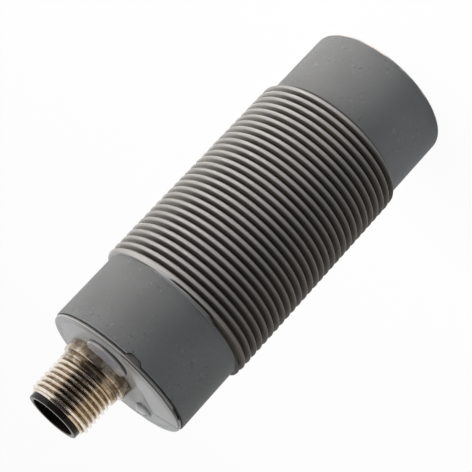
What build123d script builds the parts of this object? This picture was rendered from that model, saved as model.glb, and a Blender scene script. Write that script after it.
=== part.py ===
from build123d import *
import os
from math import cos, radians, sin

os.makedirs("parts", exist_ok=True)

# A capacitive proximity sensor that stands on its sensing face. +Z runs along
# the barrel, from the sensing face to the plug connector, and the origin is
# the centre of the sensing face. All sizes are millimetres and degrees.

# Barrel
barrel_length = 69.5
barrel_wall = 1.8
face_thickness = 1.2
front_edge_chamfer = 0.5
rim_chamfer = 0.2

# Barrel thread, M30 x 1.5, closed by a thin ring at its rear end
thread_crest_radius = 14.85
front_step = 0.95
rear_step = 0.85
thread_depth = 0.9
thread_pitch = 1.5
thread_front = 13.9
thread_ridges = 28
end_groove_depth = 0.55
end_ring_inset = 0.2
end_ring_width = 0.25

# Seat of the cap in the barrel's rear end
seat_step = 0.7
seat_depth = 3.0
gasket_thickness = 0.6
gasket_width = 1.5
slip = 0.05

# Cap
cap_inset = 0.2
cap_shadow_gap = 0.2
cap_flange = 0.4
cap_edge = 0.12
cap_plate = 1.5
skirt_wall = 1.8
ring_line_inset = 1.3
ring_line_width = 0.2
ring_line_depth = 0.12
vent_radius = 0.25
vent_depth = 0.5
vent_inset = 1.0
vent_angle = 275.7

# Raised flat field on the cap: its corner, where its long side meets the
# cap's edge, and the turn from the long side to the short one
field_height = 0.45
field_corner_x = -8.7
field_corner_y = 1.6
field_rim_x = 1.25
field_turn = 78.0

# Key tab of the cap, and the notch for it in the barrel's rim
tab_angle = 268.25
tab_width = 3.0
tab_depth = 0.55
tab_corner = 0.8
notch_play = 0.06

# Prying slot in the cap's edge
slot_angle = 213.8
slot_width = 3.8
slot_height = 0.4
slot_reach = 0.9
slot_corner = 0.15

# Plug connector, M12 x 1, off the barrel's axis as far as its nut allows
connector_angle = 42.5
nut_play = 0.43
collar_radius = 6.45
collar_height = 2.1
collar_chamfer = 0.2
groove_radius = 5.45
groove_height = 0.5
band_radius = 5.9
band_height = 1.1
plug_crest_radius = 5.95
plug_thread_depth = 0.55
plug_pitch = 1.0
plug_ridges = 7
plug_lead_height = 0.3
plug_lead_inset = 0.1
plug_wall = 0.65
spigot_radius = 5.4
spigot_wall = 1.05
shell_step_height = 1.45

# Nut under the cap that holds the connector
nut_wall = 1.15
nut_height = 1.5
nut_slots = 4
nut_slot_width = 1.6
nut_slot_depth = 0.6
spigot_tail = 0.4

# Connector insert and its contact pins
insert_lip = 0.35
insert_nose_height = 1.0
insert_edge = 0.15
insert_tail = 0.5
socket_wall = 0.5
socket_depth = 9.1
key_radius = 0.5
key_angle = 180.0
key_setback = 1.2
pin_radius = 0.5
pin_circle_radius = 2.5
pin_count = 4
pin_start_angle = 45.0
pin_recess = 4.3
pin_point = 0.2
pin_tail = 0.5

# Seal between the connector's collar and the cap
seal_thickness = 0.5
seal_width = 0.6

# Window of the indicator lamp, with its light-guiding stem
window_setback = 1.5
window_radius = 4.1
window_rise = 0.65
window_edge = 0.35
window_sink = 0.5
window_to_collar = 0.1
stem_radius = 1.5
stem_shift = 1.2

# Adjuster screw, in its pocket in the cap
adjuster_inset = 4.62
adjuster_angle = 143.2
adjuster_turn = 35.0
adjuster_head_radius = 1.5
adjuster_head_rise = 1.0
adjuster_head_height = 1.3
adjuster_bevel = 0.4
adjuster_slot_width = 0.5
adjuster_slot_depth = 0.6
adjuster_shaft_radius = 0.95
adjuster_shaft_tail = 2.0
blade_thickness = 0.5
blade_width = 1.6
blade_depth = 0.7
pocket_gap = 0.3
boss_wall = 0.9
boss_drop = 1.2
adjuster_seal_height = 0.4
adjuster_seal_width = 0.45
running_gap = 0.05

# Trimmer under the screw
trimmer_rotor_radius = 1.6
trimmer_rotor_height = 1.4
trimmer_rotor_rise = 0.3
trimmer_wall = 0.55

# Indicator lamp under the light-guiding stem
lamp_length = 3.2
lamp_width = 2.8
lamp_height = 1.1
lamp_dome_radius = 1.0
lamp_dome_height = 0.4
lamp_dome_edge = 0.25
lamp_gap = 0.3

# Boards
insert_to_board = 4.0
rear_board_play = 0.6
rear_board_thickness = 1.0
main_board_inset = 1.7
main_board_thickness = 1.2
main_board_y = -1.5
board_tab_width = 3.0
board_tab_spacing = 13.0

# Electrode stack behind the sensing face
electrode_thickness = 0.3
ground_inset = 0.8
ground_width = 1.6
guard_gap = 1.0
guard_width = 1.8
active_gap = 1.5
electrode_pin_radius = 0.4
electrode_pin_lap = 3.0
carrier_play = 0.1
carrier_flange = 2.0
carrier_height = 8.0
carrier_wall = 2.6
carrier_bridge = 5.0
carrier_slot_depth = 3.0
shield_wall = 0.35
shield_length = 18.0

# Parts soldered to the main board, the rear ones placed from the rear board down
foot_reach = 0.8
foot_thickness = 0.3
chip_width = 5.0
chip_length = 4.0
chip_depth = 1.6
chip_feet = 4
chip_foot_width = 0.5
chip_foot_spacing = 1.27
chip_x = -3.5
chip_z = 34.0
regulator_width = 4.5
regulator_length = 2.6
regulator_depth = 1.5
regulator_feet = 3
regulator_foot_width = 0.5
regulator_foot_spacing = 1.5
regulator_x = 4.5
regulator_drop = 14.8
transistor_width = 6.5
transistor_length = 3.6
transistor_depth = 1.7
transistor_feet = 3
transistor_foot_width = 0.8
transistor_foot_spacing = 2.3
transistor_x = 3.0
transistor_drop = 11.8
diode_width = 2.8
diode_length = 4.6
diode_depth = 2.2
diode_feet = 1
diode_foot_width = 1.5
diode_x = -4.0
diode_z = 38.0
capacitor_radius = 2.6
capacitor_length = 5.4
capacitor_edge = 0.4
capacitor_x = -4.5
capacitor_drop = 9.8


def level(height, x=0.0, y=0.0):
    """Horizontal plane at a height, with its origin over the given point."""
    return Plane((x, y, height), x_dir=(1, 0, 0), z_dir=(0, 0, 1))


def upright(x=0.0, y=0.0):
    """Upright plane through a vertical axis, drawn as radius across and height up."""
    return Plane((x, y, 0), x_dir=(1, 0, 0), z_dir=(0, -1, 0))


def facing(angle, height, radius=0.0):
    """Upright plane at a radius about the barrel's axis, looking outwards at an angle."""
    outwards = Vector(cos(radians(angle)), sin(radians(angle)), 0)
    sideways = Vector(-sin(radians(angle)), cos(radians(angle)), 0)
    return Plane(outwards * radius + Vector(0, 0, height), x_dir=sideways, z_dir=outwards)


def ridges(start, count, pitch, crest, root):
    """Outline of thread ridges, from the first crest to the last one."""
    points = []
    for ridge in range(count):
        points.append((crest, start + (ridge + 0.5) * pitch))
        if ridge < count - 1:
            points.append((root, start + (ridge + 1) * pitch))
    return points


def write(piece, label):
    """Name a finished piece and write it to its own file."""
    piece.part.label = label
    export_step(piece.part, "parts/" + label + ".step")


# Radii and heights that several pieces share
front_radius = thread_crest_radius - front_step
rear_radius = thread_crest_radius - rear_step
bore_radius = rear_radius - barrel_wall
seat_radius = bore_radius + seat_step
seat_height = barrel_length - seat_depth
root_radius = thread_crest_radius - thread_depth
thread_rear = thread_front + thread_ridges * thread_pitch
end_ring_radius = thread_crest_radius - end_ring_inset
end_ring_top = thread_rear + end_ring_width

cap_radius = rear_radius - cap_inset
cap_under = barrel_length + cap_shadow_gap
cap_top = cap_under + cap_flange
field_top = cap_top + field_height
field_base = cap_top - max(cap_edge, ring_line_depth)
plate_under = cap_under - cap_plate
skirt_under = seat_height + gasket_thickness
skirt_radius = seat_radius - slip
skirt_inner_radius = skirt_radius - skirt_wall
tab_height = cap_top - barrel_length + tab_depth

hole_radius = spigot_radius + slip
nut_radius = spigot_radius + nut_wall
connector_offset = skirt_inner_radius - nut_play - nut_radius
connector_x = connector_offset * cos(radians(connector_angle))
connector_y = connector_offset * sin(radians(connector_angle))
vent_x = (cap_radius - vent_inset) * cos(radians(vent_angle))
vent_y = (cap_radius - vent_inset) * sin(radians(vent_angle))
collar_top = cap_top + collar_height
band_under = collar_top + groove_height
plug_thread_start = band_under + band_height
plug_thread_end = plug_thread_start + plug_ridges * plug_pitch
plug_root_radius = plug_crest_radius - plug_thread_depth
plug_lead_radius = plug_root_radius - plug_lead_inset
bore_in_spigot = spigot_radius - spigot_wall
bore_in_thread = plug_root_radius - plug_wall
shell_top = plug_thread_end + plug_lead_height
shell_step = cap_top + shell_step_height
nut_under = plate_under - nut_height
shell_bottom = nut_under - spigot_tail

insert_top = shell_top + insert_nose_height
insert_bottom = shell_bottom - insert_tail
insert_body_radius = bore_in_spigot - slip
insert_tube_radius = bore_in_thread - slip
insert_nose_radius = insert_tube_radius + insert_lip
socket_radius = insert_tube_radius - socket_wall
socket_floor = insert_top - socket_depth
pin_top = insert_top - pin_recess
rear_board_top = insert_bottom - insert_to_board
rear_board_under = rear_board_top - rear_board_thickness
pin_bottom = rear_board_under - pin_tail
regulator_z = rear_board_under - regulator_drop
transistor_z = rear_board_under - transistor_drop
capacitor_z = rear_board_under - capacitor_drop

window_base = cap_top - window_sink
window_x = connector_x
window_y = connector_y - collar_radius - window_setback
stem_y = window_y - stem_shift
lamp_top = rear_board_top + lamp_height + lamp_dome_height

adjuster_x = (cap_radius - adjuster_inset) * cos(radians(adjuster_angle))
adjuster_y = (cap_radius - adjuster_inset) * sin(radians(adjuster_angle))
head_top = cap_top + adjuster_head_rise
head_under = head_top - adjuster_head_height
pocket_radius = adjuster_head_radius + pocket_gap
pocket_floor = head_under - running_gap - adjuster_seal_height
guide_radius = adjuster_shaft_radius + running_gap
boss_under = plate_under - boss_drop
shaft_under = boss_under - adjuster_shaft_tail
blade_under = shaft_under - blade_depth
rotor_top = shaft_under - running_gap
rotor_under = rotor_top - trimmer_rotor_height
trimmer_top = rotor_top - trimmer_rotor_rise
trimmer_recess_radius = trimmer_rotor_radius + running_gap
trimmer_side = 2 * (trimmer_recess_radius + trimmer_wall)

electrode_top = face_thickness + electrode_thickness
ground_outer_radius = bore_radius - ground_inset
ground_inner_radius = ground_outer_radius - ground_width
guard_outer_radius = ground_inner_radius - guard_gap
guard_inner_radius = guard_outer_radius - guard_width
active_radius = guard_inner_radius - active_gap
carrier_radius = bore_radius - carrier_play
carrier_body_radius = carrier_radius - shield_wall - slip
carrier_top = electrode_top + carrier_height
flange_top = electrode_top + carrier_flange
main_board_width = 2 * (bore_radius - main_board_inset)
board_bottom = carrier_top - carrier_slot_depth
board_front_y = main_board_y - main_board_thickness / 2
board_back_y = main_board_y + main_board_thickness / 2
electrode_pin_y = board_back_y + electrode_pin_radius
electrode_pin_places = {
    "active_pin": 0.0,
    "guard_pin": guard_inner_radius + guard_width / 2,
    "ground_pin": -ground_inner_radius - ground_width / 2,
}

# Housing: one moulded cup, its thread ridges part of the wall
with BuildPart() as housing:
    with BuildSketch(upright()):
        with BuildLine():
            outside = Polyline(
                (0, 0),
                (front_radius - front_edge_chamfer, 0),
                (front_radius, front_edge_chamfer),
                (front_radius, thread_front),
                *ridges(thread_front, thread_ridges, thread_pitch, thread_crest_radius, root_radius),
                (thread_crest_radius - end_groove_depth, thread_rear),
                (end_ring_radius, thread_rear),
                (end_ring_radius, end_ring_top),
                (rear_radius, end_ring_top),
                (rear_radius, barrel_length - rim_chamfer),
                (rear_radius - rim_chamfer, barrel_length),
            )
            Polyline(
                outside @ 1,
                (seat_radius, barrel_length),
                (seat_radius, seat_height),
                (bore_radius, seat_height),
                (bore_radius, face_thickness),
                (0, face_thickness),
                (0, 0),
            )
        make_face()
    revolve(axis=Axis.Z)
    with BuildSketch(facing(tab_angle, cap_top)):
        RectangleRounded(tab_width + 2 * notch_play, 2 * (tab_height + notch_play), tab_corner)
    extrude(amount=2 * rear_radius, mode=Mode.SUBTRACT)
write(housing, "housing")

# Key tab: a block with rounded lower corners, trimmed to the cap's outside
with BuildPart() as key_tab:
    with BuildSketch(facing(tab_angle, cap_top)):
        RectangleRounded(tab_width, 2 * tab_height, tab_corner)
    extrude(amount=2 * rear_radius)
    with BuildSketch(level(skirt_under)):
        Circle(cap_radius)
        Circle(skirt_radius - skirt_wall / 2, mode=Mode.SUBTRACT)
    extrude(amount=field_base - skirt_under, mode=Mode.INTERSECT)

field_start = Vector(field_rim_x, -((cap_radius**2 - field_rim_x**2) ** 0.5))
field_corner = Vector(field_corner_x, field_corner_y)
field_long = (field_start - field_corner).normalized() * 2 * cap_radius
field_short = field_long.rotate(Axis.Z, -field_turn)

# End cap: flange with a raised flat field, skirt, plate and guide boss
with BuildPart() as end_cap:
    with BuildSketch(level(cap_under)):
        Circle(cap_radius)
    extrude(amount=cap_flange)
    chamfer(end_cap.edges().filter_by(GeomType.CIRCLE), cap_edge)
    with BuildSketch(level(cap_top)):
        Circle(cap_radius - ring_line_inset + ring_line_width / 2)
        Circle(cap_radius - ring_line_inset - ring_line_width / 2, mode=Mode.SUBTRACT)
    extrude(amount=-ring_line_depth, mode=Mode.SUBTRACT)
    with BuildSketch(level(field_base)):
        Circle(cap_radius)
        with BuildLine():
            Polyline(
                field_corner,
                field_corner + field_long,
                field_corner + field_long + field_short,
                field_corner + field_short,
                close=True,
            )
        make_face(mode=Mode.INTERSECT)
    extrude(amount=field_top - field_base)
    chamfer(end_cap.faces().sort_by(Axis.Z)[-1].edges(), cap_edge)
    add(key_tab.part)
    with BuildSketch(level(skirt_under)):
        Circle(skirt_radius)
        Circle(skirt_inner_radius, mode=Mode.SUBTRACT)
    extrude(amount=cap_under - skirt_under)
    with BuildSketch(level(plate_under)):
        Circle(skirt_radius)
    extrude(amount=cap_plate)
    with BuildSketch(level(boss_under, adjuster_x, adjuster_y)):
        Circle(guide_radius + boss_wall)
    extrude(amount=boss_drop)
    # Pocket and guide hole of the adjuster
    with BuildSketch(level(pocket_floor, adjuster_x, adjuster_y)):
        Circle(pocket_radius)
    extrude(amount=field_top - pocket_floor, mode=Mode.SUBTRACT)
    with BuildSketch(level(boss_under, adjuster_x, adjuster_y)):
        Circle(guide_radius)
    extrude(amount=pocket_floor - boss_under, mode=Mode.SUBTRACT)
    # Hole of the connector and recess of its seal
    with BuildSketch(level(plate_under, connector_x, connector_y)):
        Circle(hole_radius)
    extrude(amount=field_top - plate_under, mode=Mode.SUBTRACT)
    with BuildSketch(level(cap_top - seal_thickness, connector_x, connector_y)):
        Circle(hole_radius + seal_width)
    extrude(amount=seal_thickness, mode=Mode.SUBTRACT)
    # Recess of the window, bitten off by the collar beside it, and its stem's hole
    with BuildSketch(level(window_base)):
        with Locations((window_x, window_y)):
            Circle(window_radius + slip)
        with Locations((connector_x, connector_y)):
            Circle(collar_radius + window_to_collar - slip, mode=Mode.SUBTRACT)
    extrude(amount=field_top - window_base, mode=Mode.SUBTRACT)
    with BuildSketch(level(plate_under, window_x, stem_y)):
        Circle(stem_radius + slip)
    extrude(amount=window_base - plate_under, mode=Mode.SUBTRACT)
    # Vent hole, and the prying slot in the edge
    with BuildSketch(level(cap_top, vent_x, vent_y)):
        Circle(vent_radius)
    extrude(amount=-vent_depth, mode=Mode.SUBTRACT)
    with BuildSketch(facing(slot_angle, cap_under, cap_radius - slot_reach)):
        RectangleRounded(slot_width, 2 * slot_height, slot_corner)
    extrude(amount=slot_reach + slip, mode=Mode.SUBTRACT)
write(end_cap, "end_cap")

# Gasket between the barrel's seat and the cap's skirt
with BuildPart() as cap_gasket:
    with BuildSketch(level(seat_height)):
        Circle(skirt_radius)
        Circle(skirt_radius - gasket_width, mode=Mode.SUBTRACT)
    extrude(amount=gasket_thickness)
write(cap_gasket, "cap_gasket")

# Light guide: round window beside the collar, with a stem down to the lamp
with BuildPart() as light_guide:
    with BuildSketch(level(window_base)):
        with Locations((window_x, window_y)):
            Circle(window_radius)
        with Locations((connector_x, connector_y)):
            Circle(collar_radius + window_to_collar, mode=Mode.SUBTRACT)
    extrude(amount=window_sink + window_rise)
    chamfer(light_guide.faces().sort_by(Axis.Z)[-1].edges(), window_edge)
    with BuildSketch(level(lamp_top + lamp_gap, window_x, stem_y)):
        Circle(stem_radius)
    extrude(amount=window_base - lamp_top - lamp_gap)
write(light_guide, "light_guide")

# Connector shell: collar, groove, band and thread in one turned piece
with BuildPart() as connector_shell:
    with BuildSketch(upright(connector_x, connector_y)):
        with BuildLine():
            Polyline(
                (bore_in_spigot, shell_bottom),
                (spigot_radius, shell_bottom),
                (spigot_radius, cap_top),
                (collar_radius, cap_top),
                (collar_radius, collar_top - collar_chamfer),
                (collar_radius - collar_chamfer, collar_top),
                (groove_radius, collar_top),
                (groove_radius, band_under),
                (band_radius, band_under),
                (band_radius, plug_thread_start),
                (plug_root_radius, plug_thread_start),
                *ridges(plug_thread_start, plug_ridges, plug_pitch, plug_crest_radius, plug_root_radius),
                (plug_lead_radius, plug_thread_end),
                (plug_lead_radius, shell_top),
                (bore_in_thread, shell_top),
                (bore_in_thread, shell_step),
                (bore_in_spigot, shell_step),
                close=True,
            )
        make_face()
    revolve(axis=Axis((connector_x, connector_y, 0), (0, 0, 1)))
write(connector_shell, "connector_shell")

# Seal under the connector's collar
with BuildPart() as connector_seal:
    with BuildSketch(level(cap_top - seal_thickness, connector_x, connector_y)):
        Circle(hole_radius + seal_width - slip)
        Circle(hole_radius, mode=Mode.SUBTRACT)
    extrude(amount=seal_thickness)
write(connector_seal, "connector_seal")

# Slotted round nut on the connector's spigot, under the cap's plate
with BuildPart() as connector_nut:
    with BuildSketch(level(nut_under, connector_x, connector_y)):
        Circle(nut_radius)
        Circle(hole_radius, mode=Mode.SUBTRACT)
        with PolarLocations(nut_radius, nut_slots):
            Rectangle(2 * nut_slot_depth, nut_slot_width, mode=Mode.SUBTRACT)
    extrude(amount=nut_height)
write(connector_nut, "connector_nut")

# Connector insert: nose, keyed socket and a solid body with the pins' holes
with BuildPart() as connector_insert:
    with BuildSketch(upright(connector_x, connector_y)):
        with BuildLine():
            Polyline(
                (0, insert_bottom),
                (insert_body_radius, insert_bottom),
                (insert_body_radius, shell_step),
                (insert_tube_radius, shell_step),
                (insert_tube_radius, shell_top),
                (insert_nose_radius, shell_top),
                (insert_nose_radius, insert_top - insert_edge),
                (insert_nose_radius - insert_edge, insert_top),
                (socket_radius + insert_edge, insert_top),
                (socket_radius, insert_top - insert_edge),
                (socket_radius, socket_floor),
                (0, socket_floor),
                close=True,
            )
        make_face()
    revolve(axis=Axis((connector_x, connector_y, 0), (0, 0, 1)))
    with BuildSketch(level(socket_floor, connector_x, connector_y)):
        with PolarLocations(socket_radius, 1, start_angle=key_angle):
            Circle(key_radius)
        Circle(socket_radius + socket_wall / 2, mode=Mode.INTERSECT)
    extrude(amount=socket_depth - key_setback)
    with BuildSketch(level(insert_bottom, connector_x, connector_y)):
        with PolarLocations(pin_circle_radius, pin_count, start_angle=pin_start_angle):
            Circle(pin_radius + slip)
    extrude(amount=socket_floor - insert_bottom, mode=Mode.SUBTRACT)
write(connector_insert, "connector_insert")

# Contact pins, from the socket down through the rear board
pin_places = []
for number in range(pin_count):
    pin_angle = radians(pin_start_angle + number * 360 / pin_count)
    pin_x = connector_x + pin_circle_radius * cos(pin_angle)
    pin_y = connector_y + pin_circle_radius * sin(pin_angle)
    pin_places.append((pin_x, pin_y))
    with BuildPart() as contact_pin:
        with BuildSketch(level(pin_bottom, pin_x, pin_y)):
            Circle(pin_radius)
        extrude(amount=pin_top - pin_bottom)
        chamfer(contact_pin.edges().filter_by(GeomType.CIRCLE).sort_by(Axis.Z)[-1], pin_point)
    write(contact_pin, "contact_pin_" + str(number + 1))

# Adjuster screw: slotted head, shaft and a blade for the trimmer
with BuildPart() as adjuster_screw:
    with BuildSketch(level(head_under, adjuster_x, adjuster_y)):
        Circle(adjuster_head_radius)
    extrude(amount=adjuster_head_height)
    chamfer(adjuster_screw.edges().filter_by(GeomType.CIRCLE).sort_by(Axis.Z)[-1], adjuster_bevel)
    with BuildSketch(level(head_top, adjuster_x, adjuster_y)):
        Rectangle(3 * adjuster_head_radius, adjuster_slot_width, rotation=adjuster_turn)
    extrude(amount=-adjuster_slot_depth, mode=Mode.SUBTRACT)
    with BuildSketch(level(shaft_under, adjuster_x, adjuster_y)):
        Circle(adjuster_shaft_radius)
    extrude(amount=head_under - shaft_under)
    with BuildSketch(level(blade_under, adjuster_x, adjuster_y)):
        Rectangle(blade_width, blade_thickness, rotation=adjuster_turn)
    extrude(amount=blade_depth)
write(adjuster_screw, "adjuster_screw")

# Seal round the adjuster's shaft, at the bottom of the pocket
with BuildPart() as adjuster_seal:
    with BuildSketch(level(pocket_floor, adjuster_x, adjuster_y)):
        Circle(guide_radius + adjuster_seal_width)
        Circle(guide_radius, mode=Mode.SUBTRACT)
    extrude(amount=adjuster_seal_height)
write(adjuster_seal, "adjuster_seal")

# Trimmer rotor, turned by the screw's blade
with BuildPart() as trimmer_rotor:
    with BuildSketch(level(rotor_under, adjuster_x, adjuster_y)):
        Circle(trimmer_rotor_radius)
    extrude(amount=trimmer_rotor_height)
    with BuildSketch(level(blade_under - slip, adjuster_x, adjuster_y)):
        Rectangle(3 * trimmer_rotor_radius, blade_thickness + 2 * slip, rotation=adjuster_turn)
    extrude(amount=trimmer_rotor_height, mode=Mode.SUBTRACT)
write(trimmer_rotor, "trimmer_rotor")

# Trimmer body on the rear board, round the rotor
with BuildPart() as trimmer_body:
    with BuildSketch(level(rear_board_top, adjuster_x, adjuster_y)):
        Rectangle(trimmer_side, trimmer_side, rotation=adjuster_angle)
    extrude(amount=trimmer_top - rear_board_top)
    with BuildSketch(level(rotor_under - running_gap, adjuster_x, adjuster_y)):
        Circle(trimmer_recess_radius)
    extrude(amount=trimmer_rotor_height, mode=Mode.SUBTRACT)
write(trimmer_body, "trimmer_body")

# Indicator lamp under the light guide's stem
with BuildPart() as indicator_lamp:
    with BuildSketch(level(rear_board_top, window_x, stem_y)):
        Rectangle(lamp_length, lamp_width)
    extrude(amount=lamp_height)
    with BuildSketch(level(rear_board_top + lamp_height, window_x, stem_y)):
        Circle(lamp_dome_radius)
    extrude(amount=lamp_dome_height)
    chamfer(indicator_lamp.edges().filter_by(GeomType.CIRCLE).sort_by(Axis.Z)[-1], lamp_dome_edge)
write(indicator_lamp, "indicator_lamp")

# Rear board: round, with holes for the pins and slots for the main board's tabs
with BuildPart() as rear_board:
    with BuildSketch(level(rear_board_under)):
        Circle(bore_radius - rear_board_play)
        with Locations(*pin_places):
            Circle(pin_radius + slip, mode=Mode.SUBTRACT)
        with Locations((0, main_board_y)):
            with GridLocations(board_tab_spacing, 1, 2, 1):
                Rectangle(
                    board_tab_width + 2 * slip, main_board_thickness + 2 * slip, mode=Mode.SUBTRACT
                )
    extrude(amount=rear_board_thickness)
write(rear_board, "rear_board")

# Main board: upright between the carrier's slot and the rear board
with BuildPart() as main_board:
    with BuildSketch(level(board_bottom, 0, main_board_y)):
        Rectangle(main_board_width, main_board_thickness)
    extrude(amount=rear_board_under - board_bottom)
    with BuildSketch(level(rear_board_under, 0, main_board_y)):
        with GridLocations(board_tab_spacing, 1, 2, 1):
            Rectangle(board_tab_width, main_board_thickness)
    extrude(amount=rear_board_thickness)
write(main_board, "main_board")


def board_part(label, face_y, x, z, width, length, depth, feet, foot_width, foot_spacing):
    """Moulded part on a face of the main board, with a row of flat feet above and below."""
    away = 1 if face_y > main_board_y else -1
    board_face = Plane((x, face_y, z), x_dir=(1, 0, 0), z_dir=(0, away, 0))
    with BuildPart() as part_on_board:
        with BuildSketch(board_face):
            Rectangle(width, length)
        extrude(amount=depth)
        with BuildSketch(board_face):
            with GridLocations(foot_spacing, length + foot_reach, feet, 2):
                Rectangle(foot_width, foot_reach)
        extrude(amount=foot_thickness)
    write(part_on_board, label)


board_part(
    "evaluation_chip", board_front_y, chip_x, chip_z,
    chip_width, chip_length, chip_depth, chip_feet, chip_foot_width, chip_foot_spacing,
)
board_part(
    "voltage_regulator", board_front_y, regulator_x, regulator_z,
    regulator_width, regulator_length, regulator_depth,
    regulator_feet, regulator_foot_width, regulator_foot_spacing,
)
board_part(
    "output_transistor", board_back_y, transistor_x, transistor_z,
    transistor_width, transistor_length, transistor_depth,
    transistor_feet, transistor_foot_width, transistor_foot_spacing,
)
board_part(
    "protection_diode", board_back_y, diode_x, diode_z,
    diode_width, diode_length, diode_depth, diode_feet, diode_foot_width, diode_width,
)

# Smoothing capacitor: a can that stands off the main board's front
with BuildPart() as smoothing_capacitor:
    with BuildSketch(Plane((capacitor_x, board_front_y, capacitor_z), x_dir=(1, 0, 0), z_dir=(0, -1, 0))):
        Circle(capacitor_radius)
    extrude(amount=capacitor_length)
    can_rims = smoothing_capacitor.edges().filter_by(GeomType.CIRCLE).sort_by(Axis.Y)
    chamfer(can_rims[0], capacitor_edge)
write(smoothing_capacitor, "smoothing_capacitor")

# Electrodes: a disc and two rings on the inside of the sensing face
with BuildPart() as active_electrode:
    with BuildSketch(level(face_thickness)):
        Circle(active_radius)
    extrude(amount=electrode_thickness)
write(active_electrode, "active_electrode")

with BuildPart() as guard_electrode:
    with BuildSketch(level(face_thickness)):
        Circle(guard_outer_radius)
        Circle(guard_inner_radius, mode=Mode.SUBTRACT)
    extrude(amount=electrode_thickness)
write(guard_electrode, "guard_electrode")

with BuildPart() as ground_electrode:
    with BuildSketch(level(face_thickness)):
        Circle(ground_outer_radius)
        Circle(ground_inner_radius, mode=Mode.SUBTRACT)
    extrude(amount=electrode_thickness)
write(ground_electrode, "ground_electrode")

# Electrode pins, from the plates up along the main board's back
for pin_label, pin_x in electrode_pin_places.items():
    with BuildPart() as electrode_pin:
        with BuildSketch(level(electrode_top, pin_x, electrode_pin_y)):
            Circle(electrode_pin_radius)
        extrude(amount=carrier_height + electrode_pin_lap)
    write(electrode_pin, pin_label)

# Electrode carrier: flange and wall with a bridge that holds the main board
with BuildPart() as electrode_carrier:
    with BuildSketch(level(electrode_top)):
        Circle(carrier_radius)
    extrude(amount=carrier_flange)
    with BuildSketch(level(electrode_top)):
        Circle(carrier_body_radius)
    extrude(amount=carrier_height)
    with BuildSketch(level(flange_top)):
        Circle(carrier_body_radius - carrier_wall)
        with Locations((0, main_board_y)):
            Rectangle(2 * carrier_radius, carrier_bridge, mode=Mode.SUBTRACT)
    extrude(amount=carrier_height, mode=Mode.SUBTRACT)
    with BuildSketch(level(board_bottom, 0, main_board_y)):
        Rectangle(main_board_width + 2 * slip, main_board_thickness + 2 * slip)
    extrude(amount=carrier_height, mode=Mode.SUBTRACT)
    with BuildSketch(level(electrode_top)):
        with Locations(*[(x, electrode_pin_y) for x in electrode_pin_places.values()]):
            Circle(electrode_pin_radius + slip)
    extrude(amount=carrier_height, mode=Mode.SUBTRACT)
write(electrode_carrier, "electrode_carrier")

# Shield tube on the carrier's flange, round the front of the main board
with BuildPart() as shield_tube:
    with BuildSketch(level(flange_top)):
        Circle(carrier_radius)
        Circle(carrier_radius - shield_wall, mode=Mode.SUBTRACT)
    extrude(amount=shield_length)
write(shield_tube, "shield_tube")
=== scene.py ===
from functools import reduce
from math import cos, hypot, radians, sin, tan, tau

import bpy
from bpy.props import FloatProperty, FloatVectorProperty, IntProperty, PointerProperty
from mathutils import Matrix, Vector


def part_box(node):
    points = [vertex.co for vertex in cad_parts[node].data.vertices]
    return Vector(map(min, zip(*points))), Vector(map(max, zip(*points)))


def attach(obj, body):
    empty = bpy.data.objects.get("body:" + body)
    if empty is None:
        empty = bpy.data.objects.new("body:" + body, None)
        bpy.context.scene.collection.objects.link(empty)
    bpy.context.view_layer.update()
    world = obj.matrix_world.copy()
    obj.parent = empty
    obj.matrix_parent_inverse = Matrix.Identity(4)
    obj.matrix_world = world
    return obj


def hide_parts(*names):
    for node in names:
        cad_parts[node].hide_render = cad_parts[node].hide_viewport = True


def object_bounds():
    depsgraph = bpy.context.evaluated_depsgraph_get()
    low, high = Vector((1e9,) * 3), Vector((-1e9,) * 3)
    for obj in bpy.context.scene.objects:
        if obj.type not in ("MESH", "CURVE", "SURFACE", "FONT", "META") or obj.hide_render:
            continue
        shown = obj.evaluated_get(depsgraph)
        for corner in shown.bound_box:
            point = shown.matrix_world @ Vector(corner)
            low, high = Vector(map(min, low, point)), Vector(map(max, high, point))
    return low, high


bl_info = {
    "name": "Capacitive proximity sensor",
    "version": (1, 0, 0),
    "blender": (4, 5, 0),
    "location": "View3D > Sidebar > Sensor",
    "description": "Models and finishes a threaded proximity sensor round its packed frame",
    "category": "Object",
}

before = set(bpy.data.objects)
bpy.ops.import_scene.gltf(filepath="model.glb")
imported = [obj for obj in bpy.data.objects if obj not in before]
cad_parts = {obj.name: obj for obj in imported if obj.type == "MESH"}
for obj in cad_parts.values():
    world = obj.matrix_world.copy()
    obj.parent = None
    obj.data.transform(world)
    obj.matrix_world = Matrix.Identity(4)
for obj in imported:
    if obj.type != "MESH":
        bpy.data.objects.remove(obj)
cad_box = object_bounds()

MM = 0.001
MERGE = 0.002 * MM
CUT_TOLERANCE = 0.0001 * MM
# Gap between fitted pieces, and how far joined pieces reach into each other
PLAY = 0.05 * MM
OVERLAP = 0.1 * MM
RECESS_DEPTH = 0.5 * MM
STEM_RADIUS = 1.5 * MM
SHAFT_RADIUS = 0.95 * MM
CAP_STEPS = 160
FINE_STEPS = 96
THREAD_FLANK = radians(30)
SMOOTH_ANGLE = radians(32)

barrel_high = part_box("housing")[1]
cap_low, cap_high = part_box("end_cap")
window_low, window_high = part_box("light_guide")
screw_low, screw_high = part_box("adjuster_screw")
shell_low, shell_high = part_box("connector_shell")
insert_low, insert_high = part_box("connector_insert")
pin_low, pin_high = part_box("contact_pin_1")
connector_place = ((shell_low.x + shell_high.x) / 2, (shell_low.y + shell_high.y) / 2)
adjuster_place = ((screw_low.x + screw_high.x) / 2, (screw_low.y + screw_high.y) / 2)


def length(label, description, millimetres):
    """A length property whose default is given in millimetres."""
    return FloatProperty(name=label, description=description, default=millimetres * MM, unit="LENGTH")


def rotation(label, description, degrees):
    """An angle property whose default is given in degrees."""
    return FloatProperty(name=label, description=description, default=radians(degrees), unit="ROTATION")


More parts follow.
